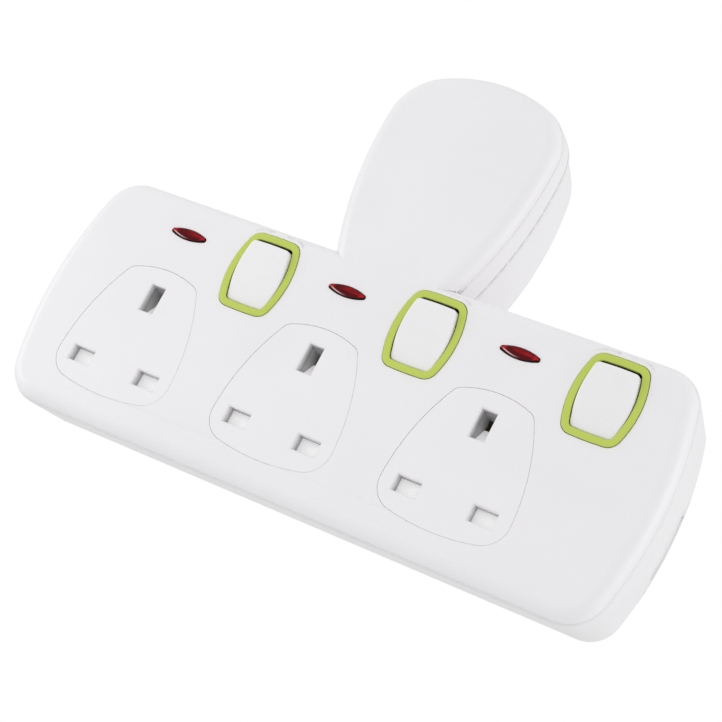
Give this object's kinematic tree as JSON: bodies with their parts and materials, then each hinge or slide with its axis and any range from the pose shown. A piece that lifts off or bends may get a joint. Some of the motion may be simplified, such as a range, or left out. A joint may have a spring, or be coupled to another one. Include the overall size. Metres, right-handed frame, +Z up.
{
  "type": "switched multi-socket adapter",
  "caption": "Plug-through mains adapter: a long bar of switched sockets with bright switch rings hangs below a rounded plug head that carries the pins.",
  "frame": {"origin": "on the plug face, midway between the live and the neutral pin", "axes": "+X to the right seen from the front, along the bar; +Y along the pins, into the wall; +Z up"},
  "size_m": [0.1926, 0.0577, 0.1353],
  "materials": {
    "white_case": "satin white ABS",
    "white_insert": "satin white ABS",
    "shutter_white": "off-white moulding",
    "white_rocker": "glossy white",
    "lime_ring": "glossy lime green",
    "red_lens": "clear dark red",
    "neon_glass": "clear glass",
    "brass": "rolled strip",
    "pin_brass": "machined",
    "black_sleeve": "moulded sleeve",
    "fuse_ceramic": "glazed ceramic with metal caps",
    "zinc_steel": "zinc plated",
    "spring_steel": "spring wire"
  },
  "bodies": {
    "housing": {"case_screw_1": "zinc_steel", "case_screw_2": "zinc_steel", "case_screw_3": "zinc_steel", "case_screw_4": "zinc_steel", "case_screw_5": "zinc_steel", "case_screw_6": "zinc_steel", "earth_bus": "brass", "earth_pin": "pin_brass", "front_cover": "white_case", "fuse": "fuse_ceramic", "fuse_carrier": "white_case", "fuse_clip_in": "brass", "fuse_clip_out": "brass", "live_bus": "brass", "live_contact_1": "brass", "live_contact_2": "brass", "live_contact_3": "brass", "live_pin": "pin_brass", "live_pin_sleeve": "black_sleeve", "neon_lamp_1": "neon_glass", "neon_lamp_2": "neon_glass", "neon_lamp_3": "neon_glass", "neon_lens_1": "red_lens", "neon_lens_2": "red_lens", "neon_lens_3": "red_lens", "neutral_bus": "brass", "neutral_pin": "pin_brass", "neutral_pin_sleeve": "black_sleeve", "rear_shell": "white_case", "shutter_spring_1": "spring_steel", "shutter_spring_2": "spring_steel", "shutter_spring_3": "spring_steel", "socket_insert_1": "white_insert", "socket_insert_2": "white_insert", "socket_insert_3": "white_insert", "switch_bezel_1": "lime_ring", "switch_bezel_2": "lime_ring", "switch_bezel_3": "lime_ring"},
    "rocker_body_1": {"rocker_1": "white_rocker", "rocker_plunger_1": "zinc_steel", "plunger_spring_1": "spring_steel"},
    "rocker_body_2": {"rocker_2": "white_rocker", "rocker_plunger_2": "zinc_steel", "plunger_spring_2": "spring_steel"},
    "rocker_body_3": {"rocker_3": "white_rocker", "rocker_plunger_3": "zinc_steel", "plunger_spring_3": "spring_steel"},
    "contact_body_1": {"rocker_contact_1": "brass"},
    "contact_body_2": {"rocker_contact_2": "brass"},
    "contact_body_3": {"rocker_contact_3": "brass"},
    "shutter_body_1": {"shutter_1": "shutter_white"},
    "shutter_body_2": {"shutter_2": "shutter_white"},
    "shutter_body_3": {"shutter_3": "shutter_white"}
  },
  "joints": [
    {"name": "rocker_hinge_1", "type": "hinge", "parent": "housing", "child": "rocker_body_1", "pos_m": [-0.03488, -0.0301, -0.0364], "axis": [1, 0, 0], "range_deg": [-17, 0]},
    {"name": "contact_hinge_1", "type": "hinge", "parent": "housing", "child": "contact_body_1", "pos_m": [-0.03488, -0.01865, -0.0364], "axis": [1, 0, 0], "range_deg": [0, 17]},
    {"name": "rocker_hinge_2", "type": "hinge", "parent": "housing", "child": "rocker_body_2", "pos_m": [0.01798, -0.0301, -0.0364], "axis": [1, 0, 0], "range_deg": [-17, 0]},
    {"name": "contact_hinge_2", "type": "hinge", "parent": "housing", "child": "contact_body_2", "pos_m": [0.01798, -0.01865, -0.0364], "axis": [1, 0, 0], "range_deg": [0, 17]},
    {"name": "rocker_hinge_3", "type": "hinge", "parent": "housing", "child": "rocker_body_3", "pos_m": [0.07084, -0.0301, -0.0364], "axis": [1, 0, 0], "range_deg": [-17, 0]},
    {"name": "contact_hinge_3", "type": "hinge", "parent": "housing", "child": "contact_body_3", "pos_m": [0.07084, -0.01865, -0.0364], "axis": [1, 0, 0], "range_deg": [0, 17]},
    {"name": "shutter_slide_1", "type": "slide", "parent": "housing", "child": "shutter_body_1", "axis": [0, 0, -1], "range_m": [0, 0.005], "stiffness_N_per_m": 60, "springref_m": -0.003, "deforming": ["shutter_spring_1"]},
    {"name": "shutter_slide_2", "type": "slide", "parent": "housing", "child": "shutter_body_2", "axis": [0, 0, -1], "range_m": [0, 0.005], "stiffness_N_per_m": 60, "springref_m": -0.003, "deforming": ["shutter_spring_2"]},
    {"name": "shutter_slide_3", "type": "slide", "parent": "housing", "child": "shutter_body_3", "axis": [0, 0, -1], "range_m": [0, 0.005], "stiffness_N_per_m": 60, "springref_m": -0.003, "deforming": ["shutter_spring_3"]}
  ],
  "couplings": [
    {"joint": "contact_hinge_1", "follows": "rocker_hinge_1", "ratio": -1},
    {"joint": "contact_hinge_2", "follows": "rocker_hinge_2", "ratio": -1},
    {"joint": "contact_hinge_3", "follows": "rocker_hinge_3", "ratio": -1}
  ]
}
